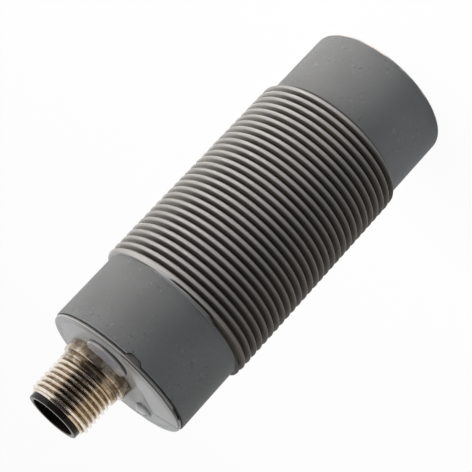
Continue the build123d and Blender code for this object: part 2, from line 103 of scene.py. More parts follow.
def spot(label, description, x, y):
    """A place beside the barrel's axis, seen from above, whose default is given in millimetres."""
    return FloatVectorProperty(
        name=label, description=description, default=(x * MM, y * MM), size=2, unit="LENGTH"
    )


def wattage(label, description, watts):
    """A lamp's power property."""
    return FloatProperty(name=label, description=description, default=watts, unit="POWER")


def colour(label, description, value):
    """A surface colour property."""
    return FloatVectorProperty(
        name=label, description=description, default=value, size=3, min=0, max=1, subtype="COLOR"
    )


class BarrelSizes(bpy.types.PropertyGroup):
    """Sizes of the moulded barrel and its thread"""

    crest_radius: length("Crest radius", "Radius of the thread's crests", 14.85)
    thread_depth: length("Thread depth", "Depth of the thread's valleys", 0.9)
    thread_pitch: length("Thread pitch", "Rise of the thread in one turn", 1.5)
    crest_rounding: length("Crest rounding", "Radius of the thread's rounded crests", 0.27)
    front_crest: length("Front crest", "Height of the first crest, on the key tab's side", 14.65)
    front_radius: length("Front radius", "Radius of the smooth front zone", 13.9)
    rear_radius: length("Rear radius", "Radius of the smooth rear zone", 14.0)
    front_end: length("Thread's front end", "Height where the first ridge starts to rise", 13.6)
    front_runout: length("Front run-out", "Length in which the first ridge rises", 1.0)
    ring_under: length("Ring's front side", "Height where the ring behind the thread starts", 55.9)
    ring_width: length("Ring width", "Width of the ring behind the thread", 0.25)
    ring_radius: length("Ring radius", "Radius of the ring behind the thread", 14.65)
    ring_slope: length("Ring slope", "Length in which the ring falls to the rear zone", 0.08)
    front_rounding: length("Front rounding", "Radius of the sensing face's edge", 0.6)
    rim_chamfer: length("Rim chamfer", "Chamfer of the rear rim", 0.2)
    bore_radius: length("Bore radius", "Radius of the barrel's bore", 12.2)
    seat_radius: length("Seat radius", "Radius of the seat for the cap", 12.9)
    seat_depth: length("Seat depth", "Depth of the seat for the cap", 3.0)
    face_thickness: length("Face thickness", "Thickness of the sensing face", 1.2)
    steps: IntProperty(name="Steps", description="Segments in one turn of the barrel", default=144)


class CapSizes(bpy.types.PropertyGroup):
    """Sizes of the end cap, its window and its adjuster"""

    radius: length("Radius", "Radius of the cap's flange", 13.8)
    flange: length("Flange", "Height of the cap's flange", 0.4)
    field_rise: length("Field rise", "Height of the raised flat field", 0.45)
    field_rim_x: length("Field's rim point", "Where the field's long side meets the rim", 1.25)
    field_corner: spot("Field corner", "Inner corner of the raised flat field", -8.7, 1.6)
    field_turn: rotation("Field turn", "Turn from the field's long side to its short one", 78)
    edge: length("Edge", "Rounding of the cap's edges", 0.1)
    tab_angle: rotation("Tab angle", "Place of the key tab round the rim", 268.25)
    tab_width: length("Tab width", "Width of the key tab", 3.0)
    tab_depth: length("Tab depth", "How far the key tab reaches below the rim", 0.55)
    tab_corner: length("Tab corner", "Rounding of the key tab's lower corners", 0.8)
    notch_play: length("Notch play", "Gap round the key tab", 0.06)
    slot_angle: rotation("Slot angle", "Place of the prying slot round the rim", 213.8)
    slot_width: length("Slot width", "Width of the prying slot", 3.8)
    slot_height: length("Slot height", "Height of the prying slot", 0.4)
    slot_reach: length("Slot reach", "Depth of the prying slot", 0.9)
    vent_place: spot("Vent place", "Where the vent hole lies", 1.27, -12.74)
    window_radius: length("Window radius", "Radius of the indicator's window", 4.1)
    head_radius: length("Head radius", "Radius of the adjuster's head", 1.5)
    head_height: length("Head height", "Height of the adjuster's head", 1.3)


class ConnectorSizes(bpy.types.PropertyGroup):
    """Sizes of the plug connector"""

    collar_radius: length("Collar radius", "Radius of the collar", 6.45)
    collar_height: length("Collar height", "Height of the collar", 2.1)
    groove_radius: length("Groove radius", "Radius of the groove above the collar", 5.45)
    groove_height: length("Groove height", "Height of the groove above the collar", 0.5)
    band_radius: length("Band radius", "Radius of the band below the thread", 5.9)
    band_height: length("Band height", "Height of the band below the thread", 1.1)
    crest_radius: length("Crest radius", "Radius of the thread's crests", 5.95)
    thread_depth: length("Thread depth", "Depth of the thread's valleys", 0.55)
    thread_pitch: length("Thread pitch", "Rise of the thread in one turn", 1.0)
    crest_rounding: length("Crest rounding", "Radius of the thread's crests in section", 0.12)
    lead_radius: length("Lead radius", "Radius of the plain end above the thread", 5.3)
    spigot_radius: length("Spigot radius", "Radius of the part below the collar", 5.4)
    bore_radius: length("Bore radius", "Radius of the bore above its step", 4.75)
    body_radius: length("Body radius", "Radius of the bore below its step", 4.35)
    step_height: length("Step height", "Height of the bore's step above the flange", 1.45)
    socket_depth: length("Socket depth", "Depth of the socket", 9.1)
    pin_hole: length("Pin hole", "Radius of the holes for the contact pins", 0.55)
    steps: IntProperty(name="Steps", description="Segments in one turn of the connector", default=96)


class Finishes(bpy.types.PropertyGroup):
    """Colours of the finishes"""

    barrel: colour("Barrel", "Grey moulded plastic of the barrel", (0.147, 0.156, 0.164))
    # The next five colours paint light and shade into the thread: paler crests as a painted highlight,
    # darker crests on the -X side as painted shade, darker flanks and valleys as painted shade, and a pale
    # wash on the +X side as painted light. The valley colour also paints shade round the cap's vent.
    crest: colour("Crest", "Rubbed warm grey of the thread's crests", (0.400, 0.408, 0.415))
    shaded_side_crest: colour("Dull crest", "Brown grey of the crests on the dusty side", (0.190, 0.173, 0.154))
    flank_shade: colour("Flank", "Dull brown grey of the thread's flanks", (0.076, 0.067, 0.058))
    valley: colour("Valley", "Dust-dark plastic in the thread's valleys", (0.022, 0.018, 0.015))
    lit_side_wash: colour("Film", "Pale dust on the side of the thread that faces +X", (0.262, 0.262, 0.256))
    # Painted highlight in patches on the sensing face's edge.
    face_edge_highlight: colour("Worn edge", "Paler plastic at the sensing face's edge", (0.880, 0.800, 0.780))
    cap: colour("Cap", "Grey moulded plastic of the cap", (0.246, 0.250, 0.251))
    # Painted highlight along the cap's outer edges.
    rim_highlight: colour("Rubbed edge", "Paler plastic along the cap's edges", (0.390, 0.385, 0.376))
    # Painted shade: this colour darkens a band along the cap's rim on the -Y side, the raised field's top
    # beside its straight sides, and the window's sides below its top.
    dust: colour("Dust", "Dust in the corners of the cap", (0.069, 0.065, 0.060))
    window: colour("Window", "Smoked violet resin of the window", (0.275, 0.270, 0.284))
    adjuster: colour("Adjuster", "Blue-grey plastic of the adjuster", (0.584, 0.598, 0.612))
    plating: colour("Plating", "Nickel plating of the connector", (0.850, 0.790, 0.700))
    grime: colour("Grime", "Brown grime in the connector's thread", (0.176, 0.105, 0.056))
    patina: colour("Patina", "Brown patina on the connector's collar", (0.260, 0.190, 0.120))
    insert: colour("Insert", "Black plastic of the connector insert", (0.010, 0.008, 0.007))
    gold: colour("Gold", "Gold plating of the contacts", (0.830, 0.590, 0.240))


class StageSettings(bpy.types.PropertyGroup):
    """Camera and light"""

    camera_place: FloatVectorProperty(
        name="Camera place", description="Where the camera stands",
        default=(0, -0.2495, 0.1234), size=3, subtype="TRANSLATION",
    )
    camera_turn: FloatVectorProperty(
        name="Camera turn", description="How the camera is turned",
        default=(radians(-65.03), radians(40.03), radians(-163.58)), size=3, subtype="EULER",
    )
    lens: FloatProperty(name="Lens", description="Focal length in millimetres", default=116.9)
    key_power: wattage("Key light", "Power of the key light", 1.5)
    front_power: wattage("Front light", "Power of the light on the front zone", 0.007)
    rear_power: wattage("Rear light", "Power of the rear light", 1.3)
    fill_power: wattage("Fill light", "Power of the weak fill light", 0.18)
    warm_colour: colour("Warm light", "Colour of the key light", (1.0, 0.905, 0.820))
    cool_colour: colour("Cool light", "Colour of the fill light", (0.800, 0.910, 1.0))
    sky_strength: FloatProperty(name="Sky", description="Strength of the even light", default=0.1)


def leave_edit():
    """Go back to object mode."""
    bpy.ops.object.mode_set(mode="OBJECT")


def deselect():
    """Select no object."""
    bpy.ops.object.select_all(action="DESELECT")


def select_only(piece):
    """Leave edit mode and select one piece alone."""
    if bpy.context.mode != "OBJECT":
        leave_edit()
    deselect()
    piece.select_set(True)
    bpy.context.view_layer.objects.active = piece


def select_by(piece, test=None):
    """In edit mode afterwards, with all vertices selected, or those whose place passes a test."""
    select_only(piece)
    for part in (piece.data.vertices, piece.data.edges, piece.data.polygons):
        part.foreach_set("select", [False] * len(part))
    for vertex in piece.data.vertices:
        vertex.select = test is None or test(vertex.co)
    bpy.ops.object.mode_set(mode="EDIT")
    bpy.ops.mesh.select_mode(type="VERT")


def merge_and_face_out(piece):
    """Merge doubled points and turn the faces outwards."""
    select_by(piece)
    bpy.ops.mesh.remove_doubles(threshold=MERGE)
    bpy.ops.mesh.normals_make_consistent(inside=False)
    leave_edit()


def arc(centre, radius, start, end, steps):
    """Corners of an arc in an outline, from one angle to another, in degrees."""
    angles = [radians(start + (end - start) * step / steps) for step in range(steps + 1)]
    return [(centre[0] + radius * cos(angle), centre[1] + radius * sin(angle)) for angle in angles]


def draw_outline(name, outline, centre=(0, 0)):
    """Draw an outline of radii and heights beside an upright axis."""
    deselect()
    first_radius, first_height = outline[0]
    bpy.ops.mesh.primitive_plane_add(size=MM, location=(centre[0] + first_radius, centre[1], first_height))
    piece = bpy.context.object
    piece.name = name
    bpy.ops.object.transform_apply(location=True)
    bpy.ops.object.mode_set(mode="EDIT")
    bpy.ops.mesh.merge(type="CENTER")
    for (radius, level), (next_radius, next_level) in zip(outline, outline[1:]):
        step = (next_radius - radius, 0, next_level - level)
        bpy.ops.mesh.extrude_region_move(TRANSFORM_OT_translate={"value": step})
    leave_edit()
    return piece


def turned(name, outline, steps, centre=(0, 0)):
    """A turned piece from an outline that starts and ends on the axis, or where it started."""
    piece = draw_outline(name, outline, centre)
    select_by(piece)
    bpy.ops.mesh.spin(steps=steps, angle=tau, center=(*centre, 0), axis=(0, 0, 1))
    merge_and_face_out(piece)
    return piece


def cylinder(name, radius, low, high, centre=(0, 0), steps=64):
    """An upright cylinder between two heights."""
    deselect()
    bpy.ops.mesh.primitive_cylinder_add(
        vertices=steps, radius=radius, depth=high - low, location=(*centre, (low + high) / 2)
    )
    piece = bpy.context.object
    piece.name = name
    bpy.ops.object.transform_apply(location=True)
    return piece


def radial_bar(name, angle, level, near, far, width, half_height, corner):
    """A bar with rounded corners that points outwards from the barrel's axis."""
    deselect()
    bpy.ops.mesh.primitive_plane_add(size=1, rotation=(0, radians(90), 0), location=(near, 0, level))
    piece = bpy.context.object
    piece.name = name
    piece.scale = (2 * half_height, width, 1)
    bpy.ops.object.transform_apply(location=True, rotation=True, scale=True)
    bpy.ops.object.mode_set(mode="EDIT")
    bpy.ops.mesh.bevel(offset=corner, segments=6, affect="VERTICES")
    bpy.ops.mesh.select_all(action="SELECT")
    bpy.ops.mesh.extrude_region_move(TRANSFORM_OT_translate={"value": (far - near, 0, 0)})
    leave_edit()
    piece.rotation_euler = (0, 0, angle)
    bpy.ops.object.transform_apply(rotation=True)
    merge_and_face_out(piece)
    return piece


def combine(piece, tool, operation, solver="EXACT"):
    """Join a tool to a piece, cut it out, or keep what the two share."""
    select_only(piece)
    modifier = piece.modifiers.new("Combine", "BOOLEAN")
    modifier.operation = operation
    modifier.solver = solver
    modifier.object = tool
    bpy.ops.object.modifier_apply(modifier=modifier.name)
    bpy.data.objects.remove(tool)


def round_edges(piece, width, angle=35):
    """Round all edges that are sharper than an angle, in degrees."""
    select_only(piece)
    modifier = piece.modifiers.new("Round", "BEVEL")
    modifier.width = width
    modifier.segments = 2
    modifier.limit_method = "ANGLE"
    modifier.angle_limit = radians(angle)
    modifier.harden_normals = True
    bpy.ops.object.modifier_apply(modifier=modifier.name)


def thread_outline(crest_radius, depth, pitch, rounding, steps=6):
    """One pitch of a thread's outline, from valley to valley, with a rounded crest."""
    crest_centre = (crest_radius - rounding, pitch / 2)
    lean = 60
    crest = arc(crest_centre, rounding, -lean, lean, steps)
    flank_depth = depth - rounding * (1 - cos(radians(lean)))
    root = crest_radius - depth
    valley = crest[0][1] - flank_depth * tan(THREAD_FLANK)
    return [(root, 0), (root, valley), *crest, (root, pitch - valley), (root, pitch)]


def screwed(name, outline, pitch, turns, steps, start):
    """Sweep one pitch of outline into a right-hand thread that starts at a height."""
    piece = draw_outline(name, [(radius, level + start) for radius, level in outline])
    select_only(piece)
    modifier = piece.modifiers.new("Thread", "SCREW")
    modifier.axis = "Z"
    modifier.angle = tau
    modifier.screw_offset = pitch
    modifier.iterations = turns
    modifier.steps = modifier.render_steps = steps
    bpy.ops.object.modifier_apply(modifier=modifier.name)
    merge_and_face_out(piece)
    return piece


def between(points, level):
    """Radius at a height, along straight lines between points of height and radius."""
    for (low, low_radius), (high, high_radius) in zip(points, points[1:]):
        if level <= high:
            share = max(0, level - low) / (high - low)
            return low_radius + share * (high_radius - low_radius)
    return points[-1][1]


def run_out(piece, outer, inner):
    """Hold a thread's radius between two limits that change with the height."""
    for vertex in piece.data.vertices:
        radius = hypot(vertex.co.x, vertex.co.y)
        held = min(radius, between(outer, vertex.co.z))
        held = max(held, between(inner, vertex.co.z))
        vertex.co.x *= held / radius
        vertex.co.y *= held / radius


def cut_at(piece, level, keep_above):
    """Cut a piece level at a height and leave the cut's rim selected, in edit mode."""
    select_by(piece)
    bpy.ops.mesh.bisect(
        plane_co=(0, 0, level), plane_no=(0, 0, 1), threshold=CUT_TOLERANCE,
        clear_inner=keep_above, clear_outer=not keep_above,
    )


def pull_rim(outline):
    """Extrude the selected round rim along an outline, whose first point is the rim itself."""
    for (radius, level), (next_radius, next_level) in zip(outline, outline[1:]):
        bpy.ops.mesh.extrude_region_move(TRANSFORM_OT_translate={"value": (0, 0, next_level - level)})
        share = next_radius / radius
        bpy.ops.transform.resize(value=(share, share, 1), center_override=(0, 0, next_level))


def move_to(piece, place):
    """Move a piece's mesh sideways to a place, with its object left at the origin."""
    select_only(piece)
    bpy.ops.transform.translate(value=(place[0], place[1], 0))
    bpy.ops.object.transform_apply(location=True)


def dress(piece, material, slot, body, *nodes):
    """Smooth a finished piece, give it its material and put it in its nodes' place."""
    select_only(piece)
    bpy.ops.object.shade_smooth_by_angle(angle=SMOOTH_ANGLE)
    modifier = piece.modifiers.new("Flat faces stay flat", "WEIGHTED_NORMAL")
    modifier.keep_sharp = True
    bpy.ops.object.modifier_apply(modifier=modifier.name)
    piece.data.materials.clear()
    piece.data.materials.append(material)
    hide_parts(*nodes)
    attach(piece, body)


def set_input(owner, socket, value):
    """Link an input socket to an output socket, or set its value, a colour by its three channels."""
    if isinstance(value, bpy.types.NodeSocket):
        owner.node_tree.links.new(value, socket)
    elif socket.type == "RGBA":
        socket.default_value = (*value, 1)
    else:
        socket.default_value = value


def new_material(name, base, roughness, metallic=0.0):
    """A material with one principled shader, and its shader node."""
    material = bpy.data.materials.new(name)
    material.use_nodes = True
    shader = material.node_tree.nodes["Principled BSDF"]
    for socket, value in (("Base Color", base), ("Roughness", roughness), ("Metallic", metallic)):
        set_input(material, shader.inputs[socket], value)
    return material, shader


def add_node(owner, kind, inputs=None, **options):
    """Add a node to a material or world, with its options by keyword and its inputs by name."""
    node = owner.node_tree.nodes.new(kind)
    for name, value in options.items():
        setattr(node, name, value)
    for name, value in (inputs or {}).items():
        set_input(owner, node.inputs[name], value)
    return node


def scaled(base, share):
    """A colour with each channel multiplied by a share."""
    return tuple(channel * share for channel in base)


class Skin:
    """A material in the making, whose methods add nodes and return their output sockets."""

    def __init__(self, name, base, roughness, metallic=0.0):
        self.material, self.shader = new_material(name, base, roughness, metallic)
        self.place = self.add("ShaderNodeTexCoord", "Object")

    def add(self, kind, output, inputs=None, **options):
        """Add a node and return one of its outputs."""
        return add_node(self.material, kind, inputs, **options).outputs[output]

    def vector_math(self, operation, output, first, second=(0, 0, 0)):
        """Result of an operation on two vectors."""
        return self.add("ShaderNodeVectorMath", output, {0: first, 1: second}, operation=operation)

    def coordinate(self, axis):
        """One coordinate of the place, X, Y or Z."""
        return self.add("ShaderNodeSeparateXYZ", axis, {"Vector": self.place})

    def axis_distance(self, centre=(0, 0)):
        """Distance from an upright axis."""
        offset = self.vector_math("SUBTRACT", "Vector", self.place, (*centre, 0))
        flat = self.vector_math("MULTIPLY", "Vector", offset, (1, 1, 0))
        return self.vector_math("LENGTH", "Value", flat)

    def side_distance(self, corner, direction):
        """Distance from a straight line that passes through a corner."""
        offset = self.vector_math("SUBTRACT", "Vector", self.place, (corner.x, corner.y, 0))
        across = self.vector_math("DOT_PRODUCT", "Value", offset, (-direction.y, direction.x, 0))
        return self.add("ShaderNodeMath", "Value", {0: across}, operation="ABSOLUTE")

    def noise(self, size, detail, place=None):
        """Noise with features of a size in metres."""
        vector = self.place if place is None else place
        inputs = {"Vector": vector, "Scale": 1 / size, "Detail": detail}
        return self.add("ShaderNodeTexNoise", "Fac", inputs)

    def spread(self, value, low, high, to_low, to_high):
        """Map a range of values smoothly onto another."""
        inputs = {"Value": value, "From Min": low, "From Max": high, "To Min": to_low, "To Max": to_high}
        return self.add("ShaderNodeMapRange", "Result", inputs, interpolation_type="SMOOTHSTEP")

    def both(self, first, second):
        """Product of two masks."""
        return self.add("ShaderNodeMath", "Value", {0: first, 1: second}, operation="MULTIPLY")

    def band(self, value, start, full, last_full, end):
        """A mask that rises between two values and falls between two higher ones."""
        return self.both(self.spread(value, start, full, 0, 1), self.spread(value, last_full, end, 1, 0))

    def blend(self, first, second, *masks):
        """Mix a second colour into a first where all masks are one."""
        factor = reduce(self.both, masks)
        node = add_node(self.material, "ShaderNodeMix", {"Factor": factor}, data_type="RGBA")
        for name, value in (("A", first), ("B", second)):
            socket = [entry for entry in node.inputs if entry.name == name and entry.type == "RGBA"][0]
            set_input(self.material, socket, value)
        return [entry for entry in node.outputs if entry.type == "RGBA"][0]

    def clouded(self, value, base, share):
        """A colour that a noise changes in places to a share of itself."""
        return self.blend(base, scaled(base, share), self.spread(value, 0.35, 0.65, 0, 1))

    def drive(self, name, value):
        """Link or set an input of the shader."""
        set_input(self.material, self.shader.inputs[name], value)

    def bump(self, value, strength, depth):
        """Bump the surface by a value, to a depth in metres."""
        inputs = {"Height": value, "Strength": strength, "Distance": depth}
        self.drive("Normal", self.add("ShaderNodeBump", "Normal", inputs))

    def finish(self, result, grain, smooth, rough, strength, depth):
        """Set the colour, and a roughness and bumps that follow the grain, and return the material."""
        self.drive("Base Color", result)
        self.drive("Roughness", self.spread(grain, 0.3, 0.7, smooth, rough))
        self.bump(grain, strength, depth)
        return self.material


def barrel_plastic(finishes, sizes):
    """Fine-grained grey moulding with specks and a painted highlight on the sensing face's edge; in the
    thread, painted highlights on the crests, painted shade on the flanks, in the valleys and on the -X
    side, and painted light on the +X side.
    """
    base = finishes.barrel
    skin = Skin("barrel_plastic", base, 0.6)
    level = skin.coordinate("Z")
    side = skin.coordinate("X")
    distance = skin.axis_distance()
    plain = skin.clouded(skin.noise(6 * MM, 4), base, 1.08)
    specks = skin.noise(0.6 * MM, 2)
    clusters = skin.spread(skin.noise(7 * MM, 2), 0.48, 0.62, 0.2, 1)
    pale = skin.blend(plain, scaled(base, 1.5), skin.spread(specks, 0.62, 0.72, 0, 0.8), clusters)
    speckled = skin.blend(pale, scaled(base, 0.6), skin.spread(specks, 0.28, 0.38, 0.8, 0), clusters)
    # Painted highlight in patches on the rounded edge of the sensing face.
    face_edge = skin.band(level, 0.08 * MM, 0.2 * MM, 0.35 * MM, 0.55 * MM)
    highlight_patches = skin.spread(skin.noise(5 * MM, 3), 0.4, 0.6, 0.1, 1)
    with_edge_highlight = skin.blend(speckled, finishes.face_edge_highlight, face_edge, highlight_patches)
    # Painted light and shade on the crests: a paler crest colour stands in for the crests' highlight, and
    # a darker one on the -X side stands in for the shade there.
    shaded_side = skin.spread(side, -12 * MM, 8 * MM, 1, 0)
    crests = skin.blend(finishes.crest, finishes.shaded_side_crest, shaded_side)
    # Painted shade: darker flanks below the crests, and darker valleys towards the root.
    shoulder = sizes.crest_radius - 0.15 * MM
    flank_shade_share = skin.spread(distance, shoulder - 0.3 * MM, shoulder, 1, 0)
    with_flank_shade = skin.blend(crests, finishes.flank_shade, flank_shade_share)
    root = sizes.crest_radius - sizes.thread_depth
    valley_shade_share = skin.spread(distance, root, root + 0.4 * sizes.thread_depth, 1, 0)
    shaded = skin.blend(with_flank_shade, finishes.valley, valley_shade_share)
    # Painted light on the +X side, which faces the key light: a pale wash lightens the flanks and valleys
    # and tones down the crests.
    lit_side_share = skin.spread(side, 9 * MM, 14 * MM, 0, 0.78)
    threaded = skin.blend(shaded, finishes.lit_side_wash, lit_side_share)
    first_rise = sizes.front_end + 0.4 * MM
    ring_top = sizes.ring_under + sizes.ring_width
    in_thread = skin.band(level, sizes.front_end, first_rise, ring_top - 0.05 * MM, ring_top)
    result = skin.blend(with_edge_highlight, threaded, in_thread)
    return skin.finish(result, skin.noise(0.16 * MM, 4), 0.55, 0.72, 0.4, 0.03 * MM)


def cap_plastic(finishes, sizes):
    """Satin grey moulding of the cap, faintly cloudy, with painted highlights along its outer edges and
    painted shade along the rim, round the vent and beside the raised field.
    """
    skin = Skin("cap_plastic", finishes.cap, 0.38)
    edge = sizes.edge
    level = skin.coordinate("Z")
    distance = skin.axis_distance()
    result = skin.clouded(skin.noise(3 * MM, 3), finishes.cap, 0.88)
    # Painted shade in a band along the rim, on the -Y side.
    rim_shade = skin.spread(distance, sizes.radius - 2.6 * MM, sizes.radius - 0.6 * MM, 0, 0.6)
    rim_shade_side = skin.spread(skin.coordinate("Y"), -10 * MM, -4 * MM, 1, 0)
    result = skin.blend(result, finishes.dust, rim_shade, rim_shade_side)
    # Painted highlight along the outer edges of the flange's top and of the raised field's top.
    rim = skin.spread(distance, sizes.radius - 1.5 * edge, sizes.radius - 0.3 * edge, 0, 1)
    top = cap_high.z - sizes.field_rise
    for ledge in (top, cap_high.z):
        levels = [ledge + share * edge for share in (-1.4, -0.8, 0.2, 0.6)]
        result = skin.blend(result, finishes.rim_highlight, rim, skin.band(level, *levels))
    # Painted shade round the vent hole.
    vent = skin.spread(skin.axis_distance(sizes.vent_place), 0.35 * MM, 0.6 * MM, 1, 0)
    result = skin.blend(result, finishes.valley, vent)
    # Painted shade on the raised field's top along its two straight sides, fading away from its corner.
    corner, along, across = field_lines(sizes)
    raised = skin.spread(level, top + 0.1 * MM, top + 0.2 * MM, 0, 1)
    crease_shade_fade = skin.spread(skin.axis_distance(corner[:2]), 6 * MM, 9 * MM, 1, 0.2)
    for direction in (along, across):
        near = skin.spread(skin.side_distance(corner, direction), 0.4 * MM, 0.8 * MM, 0.9, 0)
        result = skin.blend(result, finishes.dust, near, crease_shade_fade, raised)
    return skin.finish(result, skin.noise(0.12 * MM, 4), 0.32, 0.46, 0.2, 0.012 * MM)


def window_resin(finishes):
    """Smoked clear resin of the window, with slight flow marks and painted shade on its sides just below
    the top.
    """
    skin = Skin("window_resin", finishes.window, 0.2)
    skin.drive("Transmission Weight", 0.15)
    skin.drive("IOR", 1.5)
    flowing = skin.clouded(skin.noise(1.5 * MM, 2), finishes.window, 0.8)
    top = window_high.z
    # Painted shade on the window's sides just below its top.
    wall_shade = skin.spread(skin.coordinate("Z"), top - 0.45 * MM, top - 0.2 * MM, 0.85, 0)
    skin.drive("Base Color", skin.blend(flowing, finishes.dust, wall_shade))
    skin.bump(skin.noise(0.4 * MM, 2), 0.1, 0.01 * MM)
    return skin.material


def small_moulding(name, base, roughness, size=0.15):
    """Small moulded piece with a fine grain, whose size is given in millimetres."""
    skin = Skin(name, base, roughness)
    grain = skin.noise(size * MM, 3)
    result = skin.clouded(grain, base, 0.82)
    return skin.finish(result, grain, roughness - 0.06, roughness + 0.1, 0.2, 0.01 * MM)


def plated_metal(name, base, roughness, wear, grime=None):
    """Plated metal with turning marks and worn patches, and the connector's grime and patina."""
    skin = Skin(name, base, roughness, metallic=1.0)
    stretched = skin.add("ShaderNodeMapping", "Vector", {"Vector": skin.place, "Scale": (1, 1, 30)})
    marks = skin.noise(3 * MM, 2, stretched)
    result = skin.blend(base, wear, skin.spread(skin.noise(0.5 * MM, 3), 0.45, 0.75, 0, 1))
    if grime:
        level = skin.coordinate("Z")
        depth = skin.axis_distance(connector_place)
        deep = skin.spread(depth, grime["root"] + 0.01 * MM, grime["root"] + 0.18 * MM, 1, 0)
        uneven = skin.spread(skin.noise(1.6 * MM, 3), 0.42, 0.56, 0.8, 1)
        below_lead = skin.spread(level, grime["lead"] - 0.1 * MM, grime["lead"], 1, 0)
        result = skin.blend(result, grime["colour"], deep, uneven, below_lead)
        on_collar = skin.spread(level, grime["thread"] - 0.1 * MM, grime["thread"] + 0.1 * MM, 1, 0)
        stained = skin.spread(skin.noise(2 * MM, 3), 0.4, 0.6, 0.35, 0.9)
        result = skin.blend(result, grime["patina"], on_collar, stained)
    return skin.finish(result, marks, roughness * 0.8, roughness * 1.5, 0.1, 0.005 * MM)


class SENSOR_OT_barrel(bpy.types.Operator):
    """Model the moulded barrel with its right-hand thread"""

    bl_idname = "sensor.barrel"
    bl_label = "Barrel"

    def execute(self, context):
        sizes = context.scene.sensor_barrel
        cap = context.scene.sensor_cap
        pitch = sizes.thread_pitch
        crest = sizes.crest_radius
        front_margin = 0.3 * MM
        rear_margin = 0.2 * MM
        ring_rise = 0.1 * MM
        front_cut = sizes.front_end - front_margin
        ring_top = sizes.ring_under + sizes.ring_width
        ring_edge = ring_top - sizes.ring_slope
        rear_cut = ring_top + rear_margin
        # The crest lies half a pitch above the outline's start and, on the tab's side, three quarters
        # of a turn further on
        turns_below = 3
        start = sizes.front_crest - (1.25 + turns_below) * pitch
        turns = round((rear_cut - start) / pitch) + 1
        outline = thread_outline(crest, sizes.thread_depth, pitch, sizes.crest_rounding)
        barrel = screwed("barrel", outline, pitch, turns, sizes.steps, start)
        outer = [
            (sizes.front_end, sizes.front_radius), (sizes.front_end + sizes.front_runout, crest),
            (ring_edge, crest), (ring_top, sizes.rear_radius),
        ]
        inner = [
            (sizes.ring_under - ring_rise, 0.9 * sizes.rear_radius),
            (sizes.ring_under, sizes.ring_radius), (ring_edge, sizes.ring_radius),
            (ring_top, sizes.rear_radius),
        ]
        run_out(barrel, outer, inner)
        cut_at(barrel, front_cut, keep_above=True)
        rounding = sizes.front_rounding
        edge = arc((sizes.front_radius - rounding, rounding), rounding, 0, -90, 6)
        pull_rim([(sizes.front_radius, front_cut), *edge])
        bpy.ops.mesh.edge_face_add()
        cut_at(barrel, rear_cut, keep_above=False)
        top = barrel_high.z
        rear = sizes.rear_radius
        chamfer = sizes.rim_chamfer
        pull_rim([
            (rear, rear_cut), (rear, top - chamfer), (rear - 0.3 * chamfer, top - 0.3 * chamfer),
            (rear - chamfer, top), (sizes.seat_radius, top),
            (sizes.seat_radius, top - sizes.seat_depth),
            (sizes.bore_radius, top - sizes.seat_depth), (sizes.bore_radius, sizes.face_thickness),
        ])
        bpy.ops.mesh.edge_face_add()
        merge_and_face_out(barrel)
        half_height = cap.tab_depth + cap.notch_play
        notch = radial_bar(
            "notch", cap.tab_angle, top, 0.9 * sizes.seat_radius, 1.2 * rear,
            cap.tab_width + 2 * cap.notch_play, half_height, cap.tab_corner,
        )
        combine(barrel, notch, "DIFFERENCE", solver="MANIFOLD")
        material = barrel_plastic(context.scene.sensor_finishes, sizes)
        dress(barrel, material, "barrel_plastic", "sensor", "housing")
        return {"FINISHED"}


def window_places(sizes):
    """Where the middles of the window and of its stem lie."""
    stem_shift = 1.2 * MM
    middle = ((window_low.x + window_high.x) / 2, window_low.y + sizes.window_radius)
    return middle, (middle[0], middle[1] - stem_shift)


def field_lines(sizes):
    """Corner of the cap's raised field, and the directions of its long and short side."""
    corner = Vector((*sizes.field_corner, 0))
    start = Vector((sizes.field_rim_x, -((sizes.radius ** 2 - sizes.field_rim_x ** 2) ** 0.5), 0))
    along = (start - corner).normalized()
    across = Matrix.Rotation(-sizes.field_turn, 3, "Z") @ along
    return corner, along, across


